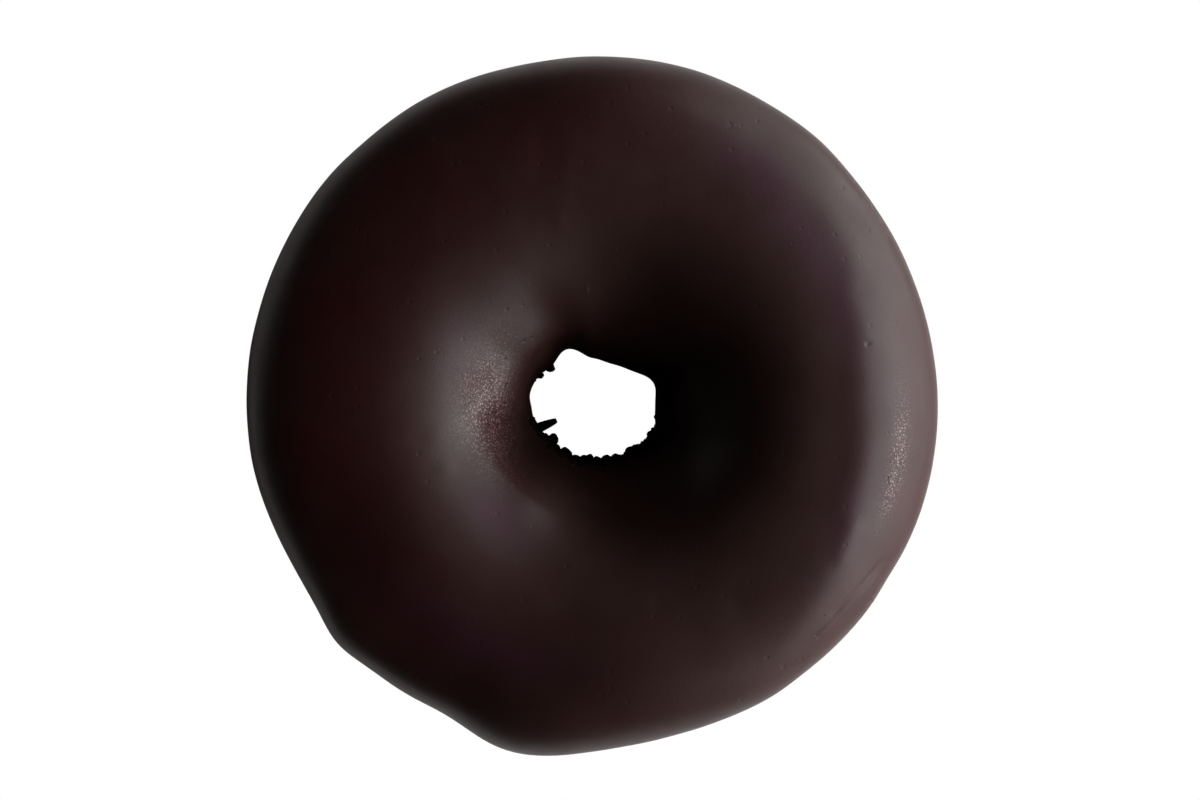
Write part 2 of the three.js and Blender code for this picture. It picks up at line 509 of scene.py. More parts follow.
class CoatColours(bpy.types.PropertyGroup):
    """Colours and finish of the chocolate."""

    chocolate: FloatVectorProperty(
        name="Chocolate",
        description="Main colour of the set coat",
        default=(0.0470, 0.0183, 0.0157),
        subtype="COLOR",
        min=0,
        max=1,
    )
    warm: FloatVectorProperty(
        name="Warm patches",
        description="Redder brown of the soft patches",
        default=(0.0640, 0.0105, 0.0103),
        subtype="COLOR",
        min=0,
        max=1,
    )
    bloom: FloatVectorProperty(
        name="Bloom",
        description="Faint mauve cast of the coat where its fat has begun to bloom",
        default=(0.0530, 0.0140, 0.0260),
        subtype="COLOR",
        min=0,
        max=1,
    )
    # Painted glints: pale specks that stand for fat crystals and for the sparkle of the highlights
    crystal_and_glint: FloatVectorProperty(
        name="Fat crystals",
        description="Pale colour of the finest grains of fat where the coat is grainy",
        default=(0.38, 0.235, 0.23),
        subtype="COLOR",
        min=0,
        max=1,
    )
    # Painted shade: near-black, darker than the coat, for the torn crumbs deep in the hole and for the
    # pinholes
    crumb: FloatVectorProperty(
        name="Torn crumb",
        description="Colour of the soaked, torn crumbs in the hole",
        default=(0.007, 0.004, 0.003),
        subtype="COLOR",
        min=0,
        max=1,
    )
    roughness: FloatProperty(
        name="Roughness",
        description="Roughness of the satin coat",
        default=0.47,
        min=0,
        max=1,
        subtype="FACTOR",
    )
    grain_height: FloatProperty(
        name="Grain height",
        description="Height of the fine grain in the coat",
        default=0.06 * MM,
        unit="LENGTH",
    )


class StudioSetup(bpy.types.PropertyGroup):
    """Camera, lights and floor of the studio."""

    camera_distance: FloatProperty(
        name="Camera distance",
        description="From the camera to the ring's outer waist",
        default=0.55,
        unit="LENGTH",
    )
    view_width: FloatProperty(
        name="View width",
        description="Width of the picture at the ring's outer waist",
        default=0.1573,
        unit="LENGTH",
    )
    light_distance: FloatProperty(
        name="Light distance",
        description="From each soft light to the ring's axis",
        default=0.9,
        unit="LENGTH",
    )
    light_power: FloatProperty(
        name="Light power",
        description="Power of the strongest soft light. Each of the others has a share of it",
        default=2.73,
        unit="POWER",
    )
    floor: FloatProperty(
        name="Floor",
        description="How much light the pale floor gives back",
        default=0.8,
        min=0,
        max=1,
        subtype="FACTOR",
    )
    contact_shade: FloatProperty(
        name="Contact shade",
        description="How far from the ring's foot the floor is shaded",
        default=2.5 * MM,
        unit="LENGTH",
    )
    floor_sheen: FloatProperty(
        name="Floor sheen",
        description="How many times brighter the white floor shows in the coat than it is",
        default=3.1,
        min=1,
    )


def bell(distance, spread):
    """A bell curve that is 1 in its middle and fades over the spread."""
    return math.exp(-((distance / spread) ** 2))


def smooth_step(value, low, high):
    """0 below low, 1 above high, and a smooth rise between."""
    share = min(max((value - low) / (high - low), 0), 1)
    return share * share * (3 - 2 * share)


def turn_between(start, end):
    """Degrees from one direction to another, from -180 to 180."""
    return (end - start + FULL_TURN / 2) % FULL_TURN - FULL_TURN / 2


def bulge_at(bulges, direction):
    """Sum of all the bulges at one direction, in metres."""
    shares = (out * bell(turn_between(at, direction), spread) for at, spread, out in bulges)
    return sum(shares) * MM


def crest_rise(direction):
    """How far the crest stands above or below its even height, in metres."""
    shares = (
        rise * math.sin(math.radians(waves * (direction - start)))
        for waves, start, rise in CREST_WAVES
    )
    return sum(shares) * MM


def swell_rise(direction, across):
    """Sum of all the swells and hollows at one place of the even ring, in metres."""
    rise = 0
    for swell in SWELLS:
        round_it = bell(turn_between(swell.direction, direction), swell.spread)
        rise += swell.rise * round_it * bell(across - swell.across, swell.width)
    return rise * MM


def on_circle(direction, radius, height=0.0):
    """The point at a direction and radius from the ring's axis."""
    turn = math.radians(direction)
    return Vector((radius * math.cos(turn), radius * math.sin(turn), height))


class Ring:
    """The even ring's measures, worked out from its sizes, and places on it."""

    def __init__(self, sizes):
        self.sizes = sizes
        self.middle_radius = (sizes.outer_radius + sizes.hole_radius) / 2
        self.half_width = (sizes.outer_radius - sizes.hole_radius) / 2
        self.hole_crown = sizes.height - sizes.hole_waist_height
        self.outer_crown = sizes.height - sizes.outer_waist_height

    def place(self, point):
        """Where a point lies, in the ring's own terms."""
        direction = math.degrees(math.atan2(point.y, point.x)) % FULL_TURN
        across = (math.hypot(point.x, point.y) - self.middle_radius) / self.half_width
        return Place(direction, across, point.z, point)

    def coat_point(self, piece, direction, across):
        """The point of the coat right under a direction and share across."""
        above = on_circle(direction, self.middle_radius + self.half_width * across, 2 * self.sizes.height)
        hit, point, _normal, _face = piece.ray_cast(above, -UP)
        if not hit:
            raise RuntimeError(f"No coat at {direction} degrees and {across} across")
        return point

    def hole_wall(self, direction):
        """The radius of the hole's wall at its waist, with its bulges."""
        return self.sizes.hole_radius + bulge_at(HOLE_BULGES, direction)

    def hole_waist(self, direction):
        """The height of the hole's narrowest place, with its swells and hollows."""
        return self.sizes.hole_waist_height + swell_rise(direction, -1)


def start_piece(name):
    """Names the primitive that was just added, with its place put into its mesh or curve."""
    bpy.ops.object.transform_apply(location=True, rotation=True, scale=True)
    piece = bpy.context.view_layer.objects.active
    piece.name = name
    piece.data.name = name
    return piece


def only(piece):
    """Makes a piece the only one that is selected and active."""
    bpy.ops.object.select_all(action="DESELECT")
    piece.select_set(True)
    bpy.context.view_layer.objects.active = piece


def pick(piece, wanted):
    """In edit mode, selects the vertices whose point is wanted, and nothing else."""
    bpy.ops.mesh.select_all(action="DESELECT")
    shell = bmesh.from_edit_mesh(piece.data)
    for vertex in shell.verts:
        vertex.select = wanted(vertex.co)
    shell.select_flush_mode()
    bmesh.update_edit_mesh(piece.data)


def apply_modifier(piece, label, kind, **settings):
    """Adds a modifier with its settings and applies it."""
    modifier = piece.modifiers.new(label, kind)
    for setting, value in settings.items():
        setattr(modifier, setting, value)
    bpy.ops.object.modifier_apply(modifier=label)


def push_surface(piece, label, heights, direction="NORMAL"):
    """Moves each vertex by its own height along one direction, as painted Displace modifiers."""
    for sign in (1, -1):
        tallest = max(sign * height for height in heights)
        if tallest < LEAST_HEIGHT:
            continue
        group = piece.vertex_groups.new(name=label)
        for index, height in enumerate(heights):
            if sign * height > 0:
                group.add([index], sign * height / tallest, "REPLACE")
        apply_modifier(
            piece,
            label,
            "DISPLACE",
            direction=direction,
            mid_level=0,
            strength=sign * tallest,
            vertex_group=group.name,
        )
        bpy.ops.object.vertex_group_remove(all=True)


def heights_on(piece, ring, height_at):
    """The height that height_at gives at the place of each vertex."""
    return [height_at(ring.place(vertex.co)) for vertex in piece.data.vertices]


def push_outwards(piece, ring, label, distance_at):
    """Moves the surface away from the ring's axis by the distance that distance_at gives at each place."""
    places = [ring.place(vertex.co) for vertex in piece.data.vertices]
    moves = [on_circle(place.direction, distance_at(place)) for place in places]
    push_surface(piece, label, [move.x for move in moves], direction="X")
    push_surface(piece, label, [move.y for move in moves], direction="Y")


def refine(piece, ring, wanted):
    """Halves the faces where the coat has finer relief than the mesh."""
    bpy.ops.object.mode_set(mode="EDIT")
    pick(piece, lambda point: wanted(ring.place(point)))
    bpy.ops.mesh.subdivide(number_cuts=1, smoothness=1)
    bpy.ops.object.mode_set(mode="OBJECT")


def flatten_under_ground(piece):
    """Flattens what reaches below the ground onto it."""
    bpy.ops.object.mode_set(mode="EDIT")
    pick(piece, lambda point: point.z < 0)
    bpy.ops.transform.resize(value=(1, 1, 0), center_override=(0, 0, 0))
    bpy.ops.object.mode_set(mode="OBJECT")


def draw_section(ring, curves):
    """Draws the ring's even section: a circle's four points moved, with their handles, to its sides."""
    sizes = ring.sizes
    bpy.ops.curve.primitive_bezier_circle_add(
        radius=ring.half_width,
        location=(ring.middle_radius, 0, sizes.hole_waist_height),
        rotation=(math.pi / 2, 0, 0),
    )
    piece = start_piece(PIECE)
    piece.data.resolution_u = STEPS_PER_QUARTER
    inner, crest, outer, base = piece.data.splines[0].bezier_points
    for point in (inner, crest, outer, base):
        point.handle_left_type = "FREE"
        point.handle_right_type = "FREE"
    crest.co = (sizes.crest_radius, 0, sizes.height)
    outer.co = (sizes.outer_radius, 0, sizes.outer_waist_height)
    base.co = (ring.middle_radius, 0, -sizes.base_trim)
    level_in = Vector((crest.co.x - inner.co.x, 0, 0))
    level_out = Vector((outer.co.x - crest.co.x, 0, 0))
    half_base = Vector((ring.half_width, 0, 0))
    inner.handle_left = inner.co - UP * (inner.co.z - base.co.z) * curves.belly
    inner.handle_right = inner.co + UP * ring.hole_crown * curves.hole_wall
    crest.handle_left = crest.co - level_in * curves.crest_inwards
    crest.handle_right = crest.co + level_out * curves.crest_outwards
    outer.handle_left = outer.co + UP * ring.outer_crown * curves.outer_wall
    outer.handle_right = outer.co - UP * (outer.co.z - base.co.z) * curves.belly
    base.handle_left = base.co + half_base * curves.base
    base.handle_right = base.co - half_base * curves.base
    bpy.ops.object.convert(target="MESH")
    return bpy.context.view_layer.objects.active


def spin_ring(ring, curves):
    """The even ring: its section, flattened where it rests and spun round the hole's axis."""
    piece = draw_section(ring, curves)
    flatten_under_ground(piece)
    bpy.ops.object.mode_set(mode="EDIT")
    bpy.ops.mesh.select_all(action="SELECT")
    bpy.ops.mesh.spin(steps=STEPS_ROUND, angle=2 * math.pi, center=(0, 0, 0), axis=UP)
    bpy.ops.mesh.select_all(action="SELECT")
    bpy.ops.mesh.remove_doubles(threshold=WELD)
    bpy.ops.mesh.normals_make_consistent(inside=False)
    bpy.ops.object.mode_set(mode="OBJECT")
    return piece


def swell_ring(piece, ring):
    """Lifts and lowers the even ring's crest, and its coat where the dough under it swells or sinks."""
    waist = ring.sizes.hole_waist_height

    def rise(place):
        over_waist = max(0, place.height - waist) / ring.hole_crown
        over_tray = smooth_step(place.height, 0, waist)
        swell = swell_rise(place.direction, place.across)
        return over_waist * crest_rise(place.direction) + over_tray * swell

    push_surface(piece, "Swells", heights_on(piece, ring, rise), direction="Z")


def bulge_ring(piece, ring):
    """Bulges the ring's walls outwards and inwards."""

    def walls(place):
        outside = smooth_step(place.across, BULGE_START, 1) * bulge_at(WALL_BULGES, place.direction)
        inside = smooth_step(-place.across, BULGE_START, 1) * bulge_at(HOLE_BULGES, place.direction)
        return outside + inside

    push_outwards(piece, ring, "Wall bulges", walls)


def settle_on_tray(piece, ring):
    """Spreads the foot of chocolate on the tray, and flattens what reaches below it."""
    reach = ring.sizes.foot_reach
    many, few = FOOT_WAVES

    def foot(place):
        near_tray = max(0, 1 - place.height / FOOT_HEIGHT) ** 2
        turn = math.radians(place.direction)
        waves = 1 + FOOT_WAVE_DEPTH * math.sin(many * turn) * math.cos(few * turn)
        return reach * near_tray * waves * smooth_step(abs(place.across), FOOT_START, FOOT_FULL)

    push_surface(piece, "Foot", heights_on(piece, ring, foot))
    flatten_under_ground(piece)


def across_at(line, direction):
    """The share across at which a line lies, at one direction that is between its ends."""
    for (start, low), (end, high) in zip(line, line[1:]):
        if direction <= end:
            return low + (high - low) * smooth_step(direction, start, end)
    return line[-1][1]


def raise_ridge(piece, ring, label, line, rise, slopes):
    """Raises a long ridge along a line, with its own slope to either side and fading to its ends."""
    first, last = line[0][0], line[-1][0]
    inwards, outwards = slopes

    def ridge(place):
        direction = first + (place.direction - first) % FULL_TURN
        if direction > last or place.height < ring.sizes.outer_waist_height:
            return 0
        start = smooth_step(direction, first, first + RIDGE_FADE)
        end = smooth_step(-direction, -last, RIDGE_FADE - last)
        beyond = (place.across - across_at(line, direction)) * ring.half_width
        slope = outwards if beyond > 0 else inwards
        return rise * (start * end) * bell(beyond, slope * MM)

    push_surface(piece, label, heights_on(piece, ring, ridge))


def shape_coat(piece, ring):
    """Gives the set coat its soft unevenness, its laps and streaks, and its pits."""

    def soft_unevenness(place):
        slow = noise.noise(place.point / SLOW_WAVE)
        quick = noise.noise(place.point / QUICK_WAVE)
        over_tray = smooth_step(place.height, 0, UNEVEN_HEIGHT)
        return ring.sizes.unevenness * (slow + QUICK_SHARE * quick) * over_tray

    push_surface(piece, "Soft unevenness", heights_on(piece, ring, soft_unevenness))
    mark_coat(piece, ring)


def mark_coat(piece, ring):
    """Presses the laps, streaks, pits and bumps that show one by one into the coat."""
    ends = [[ring.coat_point(piece, *end) for end in (line.start, line.end)] for line in COAT_LINES]
    middles = [ring.coat_point(piece, spot.direction, spot.across) for spot in COAT_SPOTS]

    def line_height(line, start, end, point):
        along = end - start
        share = min(max((point - start).dot(along) / along.length_squared, 0), 1)
        fade = smooth_step(min(share, 1 - share), 0, LINE_FADE)
        distance = (point - (start + along * share)).length
        return line.height * MM * fade * bell(distance, line.width * MM)

    def marks(place, widest=math.inf):
        if place.height < ring.sizes.hole_waist_height:
            return 0
        lines = (
            line_height(line, start, end, place.point)
            for line, (start, end) in zip(COAT_LINES, ends)
            if line.width <= widest
        )
        spots = (
            spot.height * MM * bell((place.point - middle).length, spot.radius * MM)
            for spot, middle in zip(COAT_SPOTS, middles)
            if spot.radius <= widest
        )
        return sum(lines) + sum(spots)

    def finely_marked(place):
        return abs(marks(place, WIDEST_FINE_MARK)) > LEAST_FINE_MARK * MM

    refine(piece, ring, finely_marked)
    refine(piece, ring, finely_marked)
    push_surface(piece, "Marks", heights_on(piece, ring, marks))


def model_crumb(seed, fineness):
    """A torn crumb of unit radius: a ball with its corners pushed in and out, softened by the coat on it."""
    bpy.ops.mesh.primitive_ico_sphere_add(subdivisions=fineness, radius=1)
    crumb = start_piece("torn_crumb")
    bpy.ops.object.mode_set(mode="EDIT")
    bpy.ops.mesh.select_all(action="SELECT")
    bpy.ops.transform.vertex_random(offset=0.9 / fineness, uniform=0.2, normal=0.6, seed=seed)
    bpy.ops.mesh.vertices_smooth(factor=0.5, repeat=fineness - 1)
    bpy.ops.object.mode_set(mode="OBJECT")
    return crumb


def copy_crumb(model, point, radius, turn):
    """A copy of a modelled crumb with its own mesh, at a point, with a radius and turned by an angle."""
    crumb = model.copy()
    crumb.data = model.data.copy()
    crumb.location = point
    crumb.scale = (radius, radius, radius)
    crumb.rotation_euler = (turn, 2 * turn, 3 * turn)
    return crumb


def outline_crumbs(ring, models):
    """The crumbs that show in the hole's outline, each as near to the axis as it reaches."""
    crumbs = []
    for index, crumb in enumerate(OUTLINE_CRUMBS):
        radius = crumb.radius * MM
        level = ring.hole_waist(crumb.direction) - crumb.drop * MM
        point = on_circle(crumb.direction, crumb.reach * MM + radius, level)
        crumbs.append(copy_crumb(models[index % len(models)], point, radius, index))
    return crumbs


def small_crumbs(piece, ring, models):
    """The small crumbs that roughen the torn band, sunk in the hole's wall and in the ledge over it."""
    draw = random.Random(CRUMB_SEED)
    crumbs = []
    for run in CRUMB_RUNS:
        for index in range(run.count):
            direction = draw.uniform(run.first, run.last)
            radius = ring.sizes.crumb_radius * draw.uniform(*CRUMB_SHARES)
            wall = ring.hole_wall(direction)
            if run.ledge:
                out = draw.uniform(LEDGE_START, run.ledge) * MM
                across = (wall + out - ring.middle_radius) / ring.half_width
                coat = ring.coat_point(piece, direction, across)
                point = coat - UP * radius * draw.uniform(*LEDGE_DEPTHS)
            else:
                drop = draw.uniform(*WALL_DROPS) * MM
                lean = (drop / ring.sizes.hole_waist_height) ** 2 * WALL_LEAN * MM
                buried = lean + radius * draw.uniform(*WALL_DEPTHS)
                point = on_circle(direction, wall + buried, ring.hole_waist(direction) - drop)
            turn = draw.uniform(0, math.tau)
            crumbs.append(copy_crumb(models[index % len(models)], point, radius, turn))
    return crumbs


def add_flake(ring):
    """The one thin torn flake that points into the hole: a flat round, drawn out to a blunt tip."""
    direction = FLAKE_DIRECTION
    level = ring.hole_waist(direction) - FLAKE_DROP * MM
    centre = on_circle(direction, ring.hole_wall(direction) + FLAKE_BURIED * MM, level)
    bpy.ops.mesh.primitive_circle_add(
        vertices=12,
        radius=FLAKE_RADIUS * MM,
        fill_type="NGON",
        location=centre,
        rotation=(0, -math.pi / 2, math.radians(direction)),
    )
    flake = start_piece("torn_flake")
    bpy.ops.object.mode_set(mode="EDIT")
    bpy.ops.mesh.select_all(action="SELECT")
    bpy.ops.transform.resize(value=(1, 1, FLAKE_FLATNESS), center_override=centre)
    for reach, taper in FLAKE_TAPERS:
        step = on_circle(direction, -reach * MM, FLAKE_RISE * MM)
        bpy.ops.mesh.extrude_region_move(TRANSFORM_OT_translate={"value": step})
        centre = centre + step
        bpy.ops.transform.resize(value=(taper, taper, taper), center_override=centre)
    bpy.ops.mesh.select_all(action="SELECT")
    bpy.ops.mesh.normals_make_consistent(inside=False)
    bpy.ops.object.mode_set(mode="OBJECT")
    apply_modifier(flake, "Smoothing", "SUBSURF", levels=2, render_levels=2)
    return flake


def add_crumbs(piece, ring):
    """All the torn crumbs and the flake. The crumbs are copies of a few that are modelled once."""
    lumps = [model_crumb(seed, 3) for seed in range(3)]
    bits = [model_crumb(seed, 2) for seed in range(3, 7)]
    crumbs = outline_crumbs(ring, lumps) + small_crumbs(piece, ring, bits) + [add_flake(ring)]
    for model in lumps + bits:
        bpy.data.objects.remove(model)
    return crumbs


def join_crumbs(piece, crumbs, material):
    """Joins the crumbs and the flake to the ring, by one union that keeps their own material."""
    torn = bpy.data.collections.new("torn_crumbs")
    bpy.context.scene.collection.children.link(torn)
    for crumb in crumbs:
        crumb.data.materials.append(material)
        torn.objects.link(crumb)
    piece.data.materials.append(material)
    bpy.context.view_layer.update()
    only(piece)
    apply_modifier(
        piece,
        "Crumbs",
        "BOOLEAN",
        operation="UNION",
        operand_type="COLLECTION",
        collection=torn,
        solver="MANIFOLD",
        material_mode="TRANSFER",
    )
    for crumb in crumbs:
        bpy.data.objects.remove(crumb)
    bpy.data.collections.remove(torn)


def drop_loose_bits(piece, ring):
    """Deletes the tiny bits of crumb that don't hang together with the ring's crest."""
    bpy.ops.object.mode_set(mode="EDIT")
    pick(piece, lambda point: point.z > ring.sizes.height)
    bpy.ops.mesh.select_linked()
    bpy.ops.mesh.select_all(action="INVERT")
    bpy.ops.mesh.delete(type="VERT")
    bpy.ops.object.mode_set(mode="OBJECT")


def centre_on_frame(piece):
    """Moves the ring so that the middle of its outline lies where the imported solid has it."""
    low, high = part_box(NODE)
    shift = []
    for axis in (0, 1):
        reaches = [vertex.co[axis] for vertex in piece.data.vertices]
        middle = (min(reaches) + max(reaches)) / 2
        shift.append((low[axis] + high[axis]) / 2 - middle)
    bpy.ops.object.mode_set(mode="EDIT")
    bpy.ops.mesh.select_all(action="SELECT")
    bpy.ops.transform.translate(value=(*shift, 0))
    bpy.ops.object.mode_set(mode="OBJECT")


def add_node(tree, kind, at, **settings):
    """Adds a shader node at a place in the editor, with its settings."""
    node = tree.nodes.new(kind)
    node.location = at
    for setting, value in settings.items():
        setattr(node, setting, value)
    return node


def calculate(tree, operation, at, *values, **settings):
    """Adds a math node fed by numbers or sockets, and gives its result socket."""
    node = add_node(tree, "ShaderNodeMath", at, operation=operation, **settings)
    for socket, value in zip(node.inputs, values):
        if isinstance(value, bpy.types.NodeSocket):
            tree.links.new(value, socket)
        else:
            socket.default_value = value
    return node.outputs["Value"]


def blend_colours(tree, at, share, first, second):
    """Adds a colour mix from first to second, each a colour or a socket, and gives its result socket."""
    node = add_node(tree, "ShaderNodeMix", at, data_type="RGBA")
    by_name = {socket.identifier: socket for socket in node.inputs}
    tree.links.new(share, by_name["Factor_Float"])
    for socket, value in ((by_name["A_Color"], first), (by_name["B_Color"], second)):
        if isinstance(value, bpy.types.NodeSocket):
            tree.links.new(value, socket)
        else:
            socket.default_value = (*value, 1)
    return next(socket for socket in node.outputs if socket.identifier == "Result_Color")


def start_group(name, inputs, outputs):
    """Starts a shared node group with its named inputs, their defaults, and its named outputs."""
    tree = bpy.data.node_groups.new(name, "ShaderNodeTree")
    for label, default in inputs.items():
        socket = tree.interface.new_socket(label, in_out="INPUT", socket_type="NodeSocketFloat")
        socket.default_value = default
    for label in outputs:
        tree.interface.new_socket(label, in_out="OUTPUT", socket_type="NodeSocketFloat")
    given = add_node(tree, "NodeGroupInput", (-1000, 0)).outputs
    result = add_node(tree, "NodeGroupOutput", (800, 0)).inputs
    return tree, given, result


def use_group(tree, group, at, **values):
    """Places a shared group in a material with its own values, and gives its outputs."""
    node = add_node(tree, "ShaderNodeGroup", at, node_tree=group)
    for label, value in values.items():
        node.inputs[label].default_value = value
    return node.outputs


def place_group():
    """A soft mask about a radius and direction of the ring, as wide and as long as is asked."""
    inputs = {"Radius": 0.026, "Width": 0.003, "Direction": 0.0, "Spread": 1.0}
    tree, given, result = start_group("Place On Ring", inputs, ["Mask"])
    coordinates = add_node(tree, "ShaderNodeTexCoord", (-1000, 300))
    parts = add_node(tree, "ShaderNodeSeparateXYZ", (-800, 300))
    tree.links.new(coordinates.outputs["Object"], parts.inputs["Vector"])
    x, y = parts.outputs["X"], parts.outputs["Y"]
    x_squared = calculate(tree, "MULTIPLY", (-600, 400), x, x)
    squares = calculate(tree, "MULTIPLY_ADD", (-400, 400), y, y, x_squared)
    radius = calculate(tree, "SQRT", (-200, 400), squares)
    beyond = calculate(tree, "SUBTRACT", (0, 400), radius, given["Radius"])
    widths = calculate(tree, "DIVIDE", (200, 400), beyond, given["Width"])
    direction = calculate(tree, "ARCTAN2", (-600, 100), y, x)
    turn = calculate(tree, "SUBTRACT", (-400, 100), direction, given["Direction"])
    turned = calculate(tree, "WRAP", (-200, 100), turn, math.pi, -math.pi)
    spreads = calculate(tree, "DIVIDE", (0, 100), turned, given["Spread"])
    spreads_squared = calculate(tree, "MULTIPLY", (200, 100), spreads, spreads)
    distance = calculate(tree, "MULTIPLY_ADD", (400, 300), widths, widths, spreads_squared)
    fall = calculate(tree, "MULTIPLY", (500, 150), distance, -1.0)
    tree.links.new(calculate(tree, "EXPONENT", (600, 0), fall), result["Mask"])
    return tree


def grain_group():
    """The fine grain of set chocolate, with a few pinholes, and with its finest crystals and pores."""
    inputs = {"Scale": 3200.0, "Pinholes": 0.1}
    tree, given, result = start_group("Fine Grain", inputs, ["Height", "Pinhole", "Crystal", "Pore"])
    coordinates = add_node(tree, "ShaderNodeTexCoord", (-1000, 300))
    grain = add_node(tree, "ShaderNodeTexNoise", (-600, 300))
    grain.inputs["Detail"].default_value = 3
    grain.inputs["Roughness"].default_value = 0.65
    cells = add_node(tree, "ShaderNodeTexVoronoi", (-600, 0))
    cell_scale = calculate(tree, "MULTIPLY", (-800, 0), given["Scale"], PINHOLE_FINENESS)
    tree.links.new(coordinates.outputs["Object"], grain.inputs["Vector"])
    tree.links.new(coordinates.outputs["Object"], cells.inputs["Vector"])
    tree.links.new(given["Scale"], grain.inputs["Scale"])
    tree.links.new(cell_scale, cells.inputs["Scale"])
    hollow = add_node(tree, "ShaderNodeMapRange", (-300, 100), interpolation_type="SMOOTHSTEP")
    hollow.inputs["From Min"].default_value = PINHOLE_RIM
    hollow.inputs["From Max"].default_value = PINHOLE_FLOOR
    tree.links.new(cells.outputs["Distance"], hollow.inputs["Value"])
    channels = add_node(tree, "ShaderNodeSeparateColor", (-400, -200))
    tree.links.new(cells.outputs["Color"], channels.inputs["Color"])
    chosen = calculate(tree, "LESS_THAN", (-200, -200), channels.outputs["Red"], given["Pinholes"])
    pinhole = calculate(tree, "MULTIPLY", (0, 0), hollow.outputs["Result"], chosen)
    height = calculate(tree, "MULTIPLY_ADD", (300, 200), pinhole, -PINHOLE_DEPTH, grain.outputs["Fac"])
    specks = add_node(tree, "ShaderNodeTexNoise", (-600, -500))
    specks.inputs["Detail"].default_value = 1
    speck_scale = calculate(tree, "MULTIPLY", (-800, -500), given["Scale"], SPECK_FINENESS)
    tree.links.new(coordinates.outputs["Object"], specks.inputs["Vector"])
    tree.links.new(speck_scale, specks.inputs["Scale"])
    for row, (label, low, high) in enumerate(SPECK_RANGES):
        at = (-300, -500 - 200 * row)
        speck = add_node(tree, "ShaderNodeMapRange", at, interpolation_type="SMOOTHSTEP")
        speck.inputs["From Min"].default_value = low
        speck.inputs["From Max"].default_value = high
        tree.links.new(specks.outputs["Fac"], speck.inputs["Value"])
        tree.links.new(speck.outputs["Result"], result[label])
    tree.links.new(height, result["Height"])
    tree.links.new(pinhole, result["Pinhole"])
    return tree


def patch_group():
    """Soft, uneven patches from 0 to 1, in two sizes."""
    inputs = {"Scale": 60.0, "Contrast": 0.5}
    tree, given, result = start_group("Soft Patches", inputs, ["Patch", "Small Patch"])
    coordinates = add_node(tree, "ShaderNodeTexCoord", (-1000, 300))
    low = calculate(tree, "MULTIPLY_ADD", (-400, -200), given["Contrast"], -0.5, 0.5)
    high = calculate(tree, "MULTIPLY_ADD", (-400, -400), given["Contrast"], 0.5, 0.5)
    for label, finer, row in (("Patch", 1, 300), ("Small Patch", SMALL_PATCH_FINENESS, -100)):
        scale = calculate(tree, "MULTIPLY", (-800, row), given["Scale"], finer)
        cloud = add_node(tree, "ShaderNodeTexNoise", (-600, row))
        cloud.inputs["Detail"].default_value = 2
        cloud.inputs["Distortion"].default_value = 0.3
        tree.links.new(coordinates.outputs["Object"], cloud.inputs["Vector"])
        tree.links.new(scale, cloud.inputs["Scale"])
        spread = add_node(tree, "ShaderNodeMapRange", (0, row), interpolation_type="SMOOTHSTEP")
        tree.links.new(cloud.outputs["Fac"], spread.inputs["Value"])
        tree.links.new(low, spread.inputs["From Min"])
        tree.links.new(high, spread.inputs["From Max"])
        tree.links.new(spread.outputs["Result"], result[label])
    return tree


def start_material(name):
    """Starts a material with its output and its main shader, and gives both its tree and its shader."""
    material = bpy.data.materials.new(name)
    material.use_nodes = True
    tree = material.node_tree
    tree.nodes.clear()
    output = add_node(tree, "ShaderNodeOutputMaterial", (1200, 0))
    shader = add_node(tree, "ShaderNodeBsdfPrincipled", (900, 0))
    tree.links.new(shader.outputs["BSDF"], output.inputs["Surface"])
    return material, tree, shader


def add_bump(tree, shader, at, height, tallest):
    """Bumps a shader's surface by a height from 0 to 1, which stands for the tallest in metres."""
    bump = add_node(tree, "ShaderNodeBump", at)
    bump.inputs["Distance"].default_value = tallest
    tree.links.new(height, bump.inputs["Height"])
    tree.links.new(bump.outputs["Normal"], shader.inputs["Normal"])


def masks_at(tree, place, places, at):
    """The sum of the masks of all the places."""
    total = None
    across, down = at
    for direction, spread, radius, width in places:
        values = {"Direction": math.radians(direction), "Spread": math.radians(spread)}
        values |= {"Radius": radius * MM, "Width": width * MM}
        mask = use_group(tree, place, (across, down), **values)["Mask"]
        if total is None:
            total = mask
        else:
            total = calculate(tree, "ADD", (across + 200, down), total, mask)
        down -= 200
    return total


